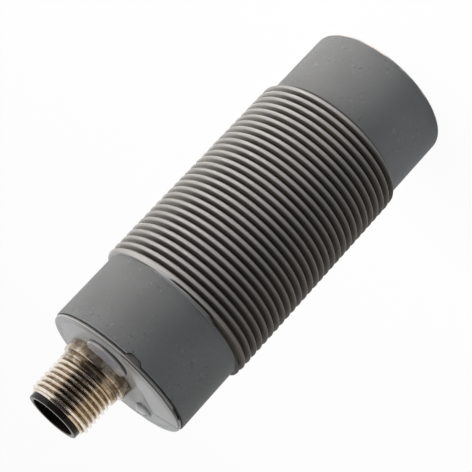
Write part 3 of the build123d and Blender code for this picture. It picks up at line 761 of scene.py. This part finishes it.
class SENSOR_OT_cap(bpy.types.Operator):
    """Model the end cap with its raised field, key tab and prying slot"""

    bl_idname = "sensor.cap"
    bl_label = "End cap"

    def execute(self, context):
        sizes = context.scene.sensor_cap
        barrel = context.scene.sensor_barrel
        connector = context.scene.sensor_connector
        finishes = context.scene.sensor_finishes
        plate = 1.5 * MM
        skirt_wall = 1.8 * MM
        skirt_gap = 0.6 * MM
        line_inset = 1.3 * MM
        line_depth = 0.12 * MM
        seal_width = 0.6 * MM
        pocket_depth = 0.75 * MM
        slot_corner = 0.15 * MM
        boss_radius = 1.9 * MM
        pocket_radius = 1.8 * MM
        vent_radius = 0.25 * MM
        top = cap_high.z - sizes.field_rise
        under = top - sizes.flange
        plate_under = under - plate
        skirt_under = barrel_high.z - barrel.seat_depth + skirt_gap
        skirt = barrel.seat_radius - PLAY
        skirt_bore = skirt - skirt_wall
        edge = sizes.edge
        line = sizes.radius - line_inset
        outline = [
            (0, plate_under), (skirt_bore, plate_under), (skirt_bore, skirt_under),
            (skirt, skirt_under), (skirt, under),
            *arc((sizes.radius - edge, under + edge), edge, -90, 0, 3),
            *arc((sizes.radius - edge, top - edge), edge, 0, 90, 3), (line + line_depth, top),
            (line, top - line_depth), (line - line_depth, top), (0, top),
        ]
        cap = turned("cap", outline, CAP_STEPS)
        self.add_field(cap, sizes, top)
        self.add_tab(cap, sizes, top)
        boss = cylinder("boss", boss_radius, cap_low.z, plate_under + 2 * OVERLAP, adjuster_place)
        combine(cap, boss, "UNION")
        above = cap_high.z + MM
        below = cap_low.z - MM
        floor = top - RECESS_DEPTH
        hole_radius = connector.spigot_radius + PLAY
        seal_radius = hole_radius + seal_width
        window_place, stem_place = window_places(sizes)
        recess = cylinder("recess", sizes.window_radius + PLAY, floor, above, window_place, FINE_STEPS)
        collar_radius = connector.collar_radius + PLAY
        collar = cylinder("collar", collar_radius, below, above + MM, connector_place, FINE_STEPS)
        combine(recess, collar, "DIFFERENCE")
        tools = [
            recess,
            cylinder("hole", hole_radius, below, above, connector_place, FINE_STEPS),
            cylinder("seal_recess", seal_radius, floor, above, connector_place, FINE_STEPS),
            cylinder("stem_hole", STEM_RADIUS + PLAY, below, top, stem_place),
            cylinder("pocket", pocket_radius, top - pocket_depth, above, adjuster_place),
            cylinder("guide", SHAFT_RADIUS + PLAY, below, top, adjuster_place),
            cylinder("vent", vent_radius, floor, above, sizes.vent_place, 24),
            radial_bar(
                "slot", sizes.slot_angle, under, sizes.radius - sizes.slot_reach, sizes.radius + MM,
                sizes.slot_width, sizes.slot_height, slot_corner,
            ),
        ]
        for tool in tools:
            combine(cap, tool, "DIFFERENCE")
        merge_and_face_out(cap)
        dress(cap, cap_plastic(finishes, sizes), "cap_plastic", "sensor", "end_cap")
        return {"FINISHED"}

    def add_field(self, cap, sizes, top):
        """Add the raised flat field, cut from a disc by its two straight sides."""
        edge = sizes.edge
        rim = (sizes.radius - edge, cap_high.z - edge)
        under = top - OVERLAP
        outline = [(0, under), (sizes.radius, under), *arc(rim, edge, 0, 90, 3), (0, cap_high.z)]
        field = turned("field", outline, CAP_STEPS)
        corner, along, across = field_lines(sizes)
        for direction, other in ((along, across), (across, along)):
            normal = Vector((-direction.y, direction.x, 0))
            if normal.dot(other) > 0:
                normal.negate()
            select_by(field)
            bpy.ops.mesh.bisect(
                plane_co=corner, plane_no=normal, threshold=CUT_TOLERANCE, use_fill=True, clear_outer=True
            )
            leave_edit()
        merge_and_face_out(field)
        round_edges(field, 0.6 * edge)
        combine(cap, field, "UNION")

    def add_tab(self, cap, sizes, top):
        """Add the key tab, flush with the flange."""
        half_height = sizes.tab_depth + top - barrel_high.z
        tab_length = 2 * MM
        disc_height = 3 * MM
        tab = radial_bar(
            "tab", sizes.tab_angle, top, sizes.radius - tab_length, sizes.radius + MM,
            sizes.tab_width, half_height, sizes.tab_corner,
        )
        disc_top = cap_high.z - 2 * OVERLAP
        disc = cylinder("disc", sizes.radius, top - disc_height, disc_top, steps=CAP_STEPS)
        combine(tab, disc, "INTERSECT")
        round_edges(tab, 0.5 * sizes.edge)
        combine(cap, tab, "UNION")


class SENSOR_OT_window(bpy.types.Operator):
    """Model the window of the indicator lamp and its stem"""

    bl_idname = "sensor.window"
    bl_label = "Window"

    def execute(self, context):
        sizes = context.scene.sensor_cap
        collar_radius = context.scene.sensor_connector.collar_radius + 2 * PLAY
        window_place, stem_place = window_places(sizes)
        rounding = 0.35 * MM
        base = cap_high.z - sizes.field_rise - RECESS_DEPTH
        top = window_high.z
        window = cylinder("window", sizes.window_radius, base, top, window_place, FINE_STEPS)
        collar = cylinder("collar", collar_radius, base - MM, top + MM, connector_place, 128)
        combine(window, collar, "DIFFERENCE")
        select_by(window, lambda point: point.z > top - 0.01 * MM)
        bpy.ops.mesh.bevel(offset=rounding, segments=5)
        leave_edit()
        stem = cylinder("stem", STEM_RADIUS, window_low.z, base + 2 * OVERLAP, stem_place, 48)
        combine(window, stem, "UNION")
        merge_and_face_out(window)
        material = window_resin(context.scene.sensor_finishes)
        dress(window, material, "window_plastic", "sensor", "light_guide")
        return {"FINISHED"}


class SENSOR_OT_adjuster(bpy.types.Operator):
    """Model the slotted adjuster screw"""

    bl_idname = "sensor.adjuster"
    bl_label = "Adjuster screw"

    def execute(self, context):
        sizes = context.scene.sensor_cap
        blade_width = 1.6 * MM
        blade_height = 0.7 * MM
        slot_length = 4 * MM
        slot_width = 0.5 * MM
        slot_depth = 0.6 * MM
        slot_turn = radians(35)
        dome = 0.9 * MM
        top = screw_high.z
        head_under = top - sizes.head_height
        blade_under = screw_low.z
        shaft_under = blade_under + blade_height
        outline = [
            (0, shaft_under), (SHAFT_RADIUS, shaft_under), (SHAFT_RADIUS, head_under),
            (sizes.head_radius, head_under),
            *arc((sizes.head_radius - dome, top - dome), dome, 0, 75, 6), (0, top),
        ]
        screw = turned("adjuster", outline, 48, adjuster_place)
        for width, low, high, operation in (
            (slot_length, top - slot_depth, top + MM, "DIFFERENCE"),
            (blade_width, blade_under, shaft_under + OVERLAP, "UNION"),
        ):
            deselect()
            bpy.ops.mesh.primitive_cube_add(
                size=1, location=(*adjuster_place, (low + high) / 2),
                rotation=(0, 0, slot_turn), scale=(width, slot_width, high - low),
            )
            bpy.ops.object.transform_apply()
            combine(screw, bpy.context.object, operation)
        round_edges(screw, 0.5 * sizes.edge, angle=40)
        finishes = context.scene.sensor_finishes
        material = small_moulding("adjuster_plastic", finishes.adjuster, 0.35)
        dress(screw, material, "adjuster_plastic", "adjuster", "adjuster_screw")
        return {"FINISHED"}


class SENSOR_OT_connector(bpy.types.Operator):
    """Model the turned connector shell with its fine thread"""

    bl_idname = "sensor.connector"
    bl_label = "Connector shell"

    def execute(self, context):
        sizes = context.scene.sensor_connector
        run_in = 0.3 * MM
        run_off = 0.5 * MM
        lead_height = 0.3 * MM
        edge = 0.08 * MM
        collar_edge = 0.2 * MM
        line_depth = 0.12 * MM
        half_line = 0.1 * MM
        cap_top = cap_high.z - context.scene.sensor_cap.field_rise
        step = cap_top + sizes.step_height
        collar_top = cap_top + sizes.collar_height
        band_under = collar_top + sizes.groove_height
        band_top = band_under + sizes.band_height
        band_middle = (band_under + band_top) / 2
        top = shell_high.z
        lead_under = top - lead_height
        pitch = sizes.thread_pitch
        root = sizes.crest_radius - sizes.thread_depth
        first_crest = band_top + 0.4 * pitch
        # The outline starts two and a quarter turns below the first crest, so that the cut ends it
        start = first_crest - 2.25 * pitch
        turns = round((lead_under - start) / pitch) + 2
        outline = thread_outline(sizes.crest_radius, sizes.thread_depth, pitch, sizes.crest_rounding, 4)
        shell = screwed("connector", outline, pitch, turns, sizes.steps, start)
        outer = [
            (band_top, root), (band_top + run_in, sizes.crest_radius),
            (lead_under - run_off, sizes.crest_radius), (lead_under, root),
        ]
        run_out(shell, outer, [(0, 0), (MM, 0)])
        band = sizes.band_radius
        collar = sizes.collar_radius
        cut_at(shell, band_top, keep_above=True)
        pull_rim([
            (root, band_top), *arc((band - edge, band_top - edge), edge, 90, 0, 3),
            (band, band_middle + half_line), (band - line_depth, band_middle),
            (band, band_middle - half_line),
            *arc((band - edge, band_under + edge), edge, 0, -90, 3),
            (sizes.groove_radius, band_under), (sizes.groove_radius, collar_top),
            *arc((collar - collar_edge, collar_top - collar_edge), collar_edge, 90, 0, 4),
            *arc((collar - edge, cap_top + edge), edge, 0, -90, 3), (sizes.spigot_radius, cap_top),
            (sizes.spigot_radius, shell_low.z),
        ])
        bpy.ops.mesh.edge_face_add()
        cut_at(shell, lead_under, keep_above=False)
        pull_rim([
            (root, lead_under), (sizes.lead_radius, lead_under),
            *arc((sizes.lead_radius - edge, top - edge), edge, 0, 90, 3),
        ])
        bpy.ops.mesh.edge_face_add()
        merge_and_face_out(shell)
        bore = [
            (0, shell_low.z - MM), (sizes.body_radius, shell_low.z - MM), (sizes.body_radius, step),
            (sizes.bore_radius, step), (sizes.bore_radius, top + MM), (0, top + MM),
        ]
        combine(shell, turned("bore", bore, sizes.steps), "DIFFERENCE", solver="MANIFOLD")
        move_to(shell, connector_place)
        finishes = context.scene.sensor_finishes
        worn = [channel * share for channel, share in zip(finishes.plating, (0.75, 0.66, 0.55))]
        grime = {
            "colour": finishes.grime,
            "patina": finishes.patina,
            "root": root,
            "thread": band_top,
            "lead": lead_under,
        }
        material = plated_metal("plated_brass", finishes.plating, 0.2, worn, grime=grime)
        dress(shell, material, "plated_brass", "sensor", "connector_shell")
        return {"FINISHED"}


class SENSOR_OT_insert(bpy.types.Operator):
    """Model the keyed plastic insert of the connector"""

    bl_idname = "sensor.insert"
    bl_label = "Connector insert"

    def execute(self, context):
        sizes = context.scene.sensor_connector
        nose_wall = 0.35 * MM
        socket_wall = 0.5 * MM
        key_radius = 0.5 * MM
        key_depth = 1.2 * MM
        key_shift = 0.1 * MM
        edge = 0.15 * MM
        step = cap_high.z - context.scene.sensor_cap.field_rise + sizes.step_height
        top = insert_high.z
        body = sizes.body_radius - PLAY
        tube = sizes.bore_radius - PLAY
        nose = tube + nose_wall
        socket = tube - socket_wall
        floor = top - sizes.socket_depth
        outline = [
            (0, insert_low.z), (body, insert_low.z), (body, step), (tube, step),
            (tube, shell_high.z), (nose, shell_high.z),
            *arc((nose - edge, top - edge), edge, 0, 90, 4),
            *arc((socket + edge, top - edge), edge, 90, 180, 4), (socket, floor), (0, floor),
        ]
        insert = turned("insert", outline, sizes.steps, connector_place)
        key_place = (connector_place[0] - socket + key_shift, connector_place[1])
        key = cylinder("key", key_radius, floor - OVERLAP, top - key_depth, key_place, 32)
        combine(insert, key, "UNION")
        for place in pin_places():
            hole = cylinder("hole", sizes.pin_hole, insert_low.z - MM, floor + MM, place, 32)
            combine(insert, hole, "DIFFERENCE")
        merge_and_face_out(insert)
        finishes = context.scene.sensor_finishes
        material = small_moulding("insert_plastic", finishes.insert, 0.24)
        material.node_tree.nodes["Principled BSDF"].inputs["Specular IOR Level"].default_value = 0.25
        dress(insert, material, "insert_plastic", "sensor", "connector_insert")
        return {"FINISHED"}


def pin_places():
    """Where the contact pins stand, in their nodes' order."""
    places = []
    for number in range(1, 5):
        low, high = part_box("contact_pin_" + str(number))
        places.append(((low.x + high.x) / 2, (low.y + high.y) / 2))
    return places


class SENSOR_OT_contacts(bpy.types.Operator):
    """Model the four gold-plated contact pins"""

    bl_idname = "sensor.contacts"
    bl_label = "Contact pins"

    def execute(self, context):
        radius = (pin_high.x - pin_low.x) / 2
        tip = 0.35 * MM
        outline = [
            (0, pin_low.z), (radius, pin_low.z),
            *arc((radius - tip, pin_high.z - tip), tip, 0, 90, 6), (0, pin_high.z),
        ]
        pins = [turned("contact_1", outline, 32)]
        for number in range(2, 5):
            copy = pins[0].copy()
            copy.data = pins[0].data.copy()
            copy.name = "contact_" + str(number)
            context.collection.objects.link(copy)
            pins.append(copy)
        finishes = context.scene.sensor_finishes
        material = plated_metal("gold_contact", finishes.gold, 0.2, finishes.gold)
        for number, (pin, place) in enumerate(zip(pins, pin_places()), start=1):
            move_to(pin, place)
            dress(pin, material, "gold_contact", "sensor", "contact_pin_" + str(number))
        return {"FINISHED"}


class SENSOR_OT_inner_parts(bpy.types.Operator):
    """Finish the seals, boards and electrodes inside the barrel"""

    bl_idname = "sensor.inner_parts"
    bl_label = "Inner parts"

    def execute(self, context):
        finishes = context.scene.sensor_finishes
        for name, base, roughness, wear, *nodes in (
            ("copper_foil", (0.72, 0.36, 0.20), 0.3, (0.55, 0.27, 0.16),
             "active_electrode", "guard_electrode", "ground_electrode"),
            ("shield_sheet", (0.74, 0.55, 0.25), 0.28, (0.60, 0.42, 0.19), "shield_tube"),
            ("nut_plating", finishes.plating, 0.25, finishes.plating, "connector_nut"),
            ("tinned_wire", (0.66, 0.66, 0.64), 0.3, (0.58, 0.58, 0.56),
             "active_pin", "guard_pin", "ground_pin"),
            ("capacitor_can", (0.70, 0.71, 0.73), 0.3, (0.62, 0.63, 0.65), "smoothing_capacitor"),
        ):
            self.finish_nodes(plated_metal(name, base, roughness, wear), nodes)
        for name, base, roughness, grain, *nodes in (
            ("seal_rubber", (0.022, 0.021, 0.020), 0.7, 0.15,
             "connector_seal", "adjuster_seal", "cap_gasket"),
            ("board_laminate", (0.016, 0.130, 0.060), 0.3, 0.6, "main_board", "rear_board"),
            ("component_plastic", (0.025, 0.025, 0.026), 0.5, 0.15,
             "evaluation_chip", "voltage_regulator", "output_transistor", "protection_diode"),
            ("carrier_plastic", (0.60, 0.58, 0.52), 0.45, 0.15, "electrode_carrier"),
            ("trimmer_plastic", (0.020, 0.070, 0.300), 0.35, 0.15, "trimmer_body"),
            ("rotor_plastic", (0.72, 0.71, 0.68), 0.4, 0.15, "trimmer_rotor"),
            ("lamp_resin", (0.78, 0.64, 0.30), 0.2, 0.15, "indicator_lamp"),
        ):
            self.finish_nodes(small_moulding(name, base, roughness, grain), nodes)
        return {"FINISHED"}

    def finish_nodes(self, material, nodes):
        """Give the frame's own meshes their material."""
        for node in nodes:
            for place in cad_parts[node].material_slots:
                place.material = material


class SENSOR_OT_stage(bpy.types.Operator):
    """Set the pale floor, the reflecting cards, the lamps, the sky and the camera"""

    bl_idname = "sensor.stage"
    bl_label = "Stage"

    def execute(self, context):
        stage = context.scene.sensor_stage
        self.add_floor()
        dark = (0.03, 0.026, 0.030)
        tan_colour = (0.64, 0.56, 0.45)
        cards = (
            ("dark_card", (0.016, -0.09, 0.15), (0.125, 0.34, 1), (112, 0, 0), dark),
            ("dark_roof", (0.012, -0.02, 0.32), (0.12, 0.34, 1), (0, 0, 0), dark),
            ("tan_card", (-0.09, -0.03, 0.10), (0.22, 0.30, 1), (90, 0, -90), tan_colour),
        )
        for card in cards:
            self.add_card(*card)
        self.set_sky(context.scene, stage.sky_strength)
        front = Vector((0, 0, 0))
        middle = Vector((0, 0, cad_box[1].z / 2))
        warm, cool, white = stage.warm_colour, stage.cool_colour, (1, 1, 1)
        lamps = (
            ("key", (0.40, -0.10, 0.08), middle, 0.18, stage.key_power, warm, 180),
            ("front_light", (0.38, -0.14, 0.06), front, 0.05, stage.front_power, warm, 16),
            ("rear_light", (0.10, -0.02, 0.40), middle, 0.20, stage.rear_power, white, 180),
            ("fill_light", (-0.35, -0.15, 0.10), middle, 0.20, stage.fill_power, cool, 180),
        )
        for lamp in lamps:
            self.add_lamp(*lamp)
        self.add_camera(context.scene, stage)
        context.scene.view_settings.view_transform = "Standard"
        return {"FINISHED"}

    def add_floor(self):
        """A white floor that looks even to the camera and keeps a soft shadow."""
        bpy.ops.mesh.primitive_plane_add(size=6, location=(0, 0, -0.02 * MM))
        floor = bpy.context.object
        floor.name = "floor"
        material = bpy.data.materials.new("floor_white")
        material.use_nodes = True
        material.node_tree.nodes.clear()
        diffuse = add_node(material, "ShaderNodeBsdfDiffuse", {"Color": (0.8, 0.8, 0.8)})
        glow = add_node(material, "ShaderNodeEmission", {"Strength": 1.0})
        seen = seen_directly(material)
        glow_share = add_node(material, "ShaderNodeMath", {0: seen, 1: 0.96}, operation="MULTIPLY")
        inputs = {
            "Fac": glow_share.outputs["Value"],
            1: diffuse.outputs["BSDF"],
            2: glow.outputs["Emission"],
        }
        mix = add_node(material, "ShaderNodeMixShader", inputs)
        add_node(material, "ShaderNodeOutputMaterial", {"Surface": mix.outputs["Shader"]})
        floor.data.materials.append(material)

    def add_card(self, name, place, size, turn, glow):
        """A card that only reflections show, with its turn in degrees and the colour it glows in."""
        turned_by = [radians(angle) for angle in turn]
        bpy.ops.mesh.primitive_plane_add(size=1, location=place, rotation=turned_by)
        card = bpy.context.object
        card.scale = size
        card.name = name
        material, shader = new_material(name, (0.01, 0.01, 0.01), 0.9)
        set_input(material, shader.inputs["Emission Color"], glow)
        set_input(material, shader.inputs["Emission Strength"], 1)
        card.data.materials.append(material)
        for rays in ("camera", "diffuse", "shadow", "transmission"):
            setattr(card, "visible_" + rays, False)

    def set_sky(self, scene, strength):
        """An even sky, white where it is seen directly or in a reflection."""
        world = bpy.data.worlds.new("studio")
        scene.world = world
        world.use_nodes = True
        inputs = {"Value": seen_directly(world), "To Min": strength, "To Max": 1}
        level = add_node(world, "ShaderNodeMapRange", inputs)
        background = world.node_tree.nodes["Background"]
        set_input(world, background.inputs["Color"], (1, 1, 1))
        set_input(world, background.inputs["Strength"], level.outputs["Result"])

    def add_lamp(self, name, place, target, size, watts, tint, beam):
        """A square lamp that looks at a point, with its beam's angle in degrees."""
        bpy.ops.object.light_add(type="AREA", location=place)
        lamp = bpy.context.object
        lamp.name = name
        lamp.data.size = size
        lamp.data.energy = watts
        lamp.data.color = tint
        lamp.data.spread = radians(beam)
        lamp.visible_glossy = False
        lamp.rotation_euler = (target - lamp.location).to_track_quat("-Z", "Y").to_euler()

    def add_camera(self, scene, stage):
        """The camera at the photograph's angle."""
        bpy.ops.object.camera_add(location=stage.camera_place, rotation=stage.camera_turn)
        camera = bpy.context.object
        camera.data.lens = stage.lens
        camera.data.clip_start = 0.01
        scene.camera = camera


def seen_directly(owner):
    """One for rays from the camera, a reflection or a clear piece, and zero for the light's own."""
    path = add_node(owner, "ShaderNodeLightPath").outputs
    result = path["Is Camera Ray"]
    for kind in ("Is Glossy Ray", "Is Transmission Ray"):
        either = add_node(owner, "ShaderNodeMath", {0: result, 1: path[kind]}, operation="MAXIMUM")
        result = either.outputs["Value"]
    return result


class SENSOR_PT_panel(bpy.types.Panel):
    """Steps that build the sensor"""

    bl_idname = "SENSOR_PT_panel"
    bl_label = "Proximity sensor"
    bl_space_type = "VIEW_3D"
    bl_region_type = "UI"
    bl_category = "Sensor"

    def draw(self, context):
        for step in STEPS:
            self.layout.operator(step.bl_idname)


SETTINGS = {
    "sensor_barrel": BarrelSizes,
    "sensor_cap": CapSizes,
    "sensor_connector": ConnectorSizes,
    "sensor_finishes": Finishes,
    "sensor_stage": StageSettings,
}
STEPS = (
    SENSOR_OT_barrel,
    SENSOR_OT_cap,
    SENSOR_OT_window,
    SENSOR_OT_adjuster,
    SENSOR_OT_connector,
    SENSOR_OT_insert,
    SENSOR_OT_contacts,
    SENSOR_OT_inner_parts,
    SENSOR_OT_stage,
)


def register():
    """Register the settings, the steps and the panel."""
    for kind in (*SETTINGS.values(), *STEPS, SENSOR_PT_panel):
        bpy.utils.register_class(kind)
    for name, kind in SETTINGS.items():
        setattr(bpy.types.Scene, name, PointerProperty(type=kind))


def unregister():
    """Take back what register added."""
    for name in SETTINGS:
        delattr(bpy.types.Scene, name)
    for kind in (SENSOR_PT_panel, *reversed(STEPS), *reversed(SETTINGS.values())):
        bpy.utils.unregister_class(kind)


def main():
    """Build the sensor step by step."""
    register()
    bpy.ops.sensor.barrel()
    bpy.ops.sensor.cap()
    bpy.ops.sensor.window()
    bpy.ops.sensor.adjuster()
    bpy.ops.sensor.connector()
    bpy.ops.sensor.insert()
    bpy.ops.sensor.contacts()
    bpy.ops.sensor.inner_parts()
    bpy.ops.sensor.stage()


if __name__ == "__main__":
    main()
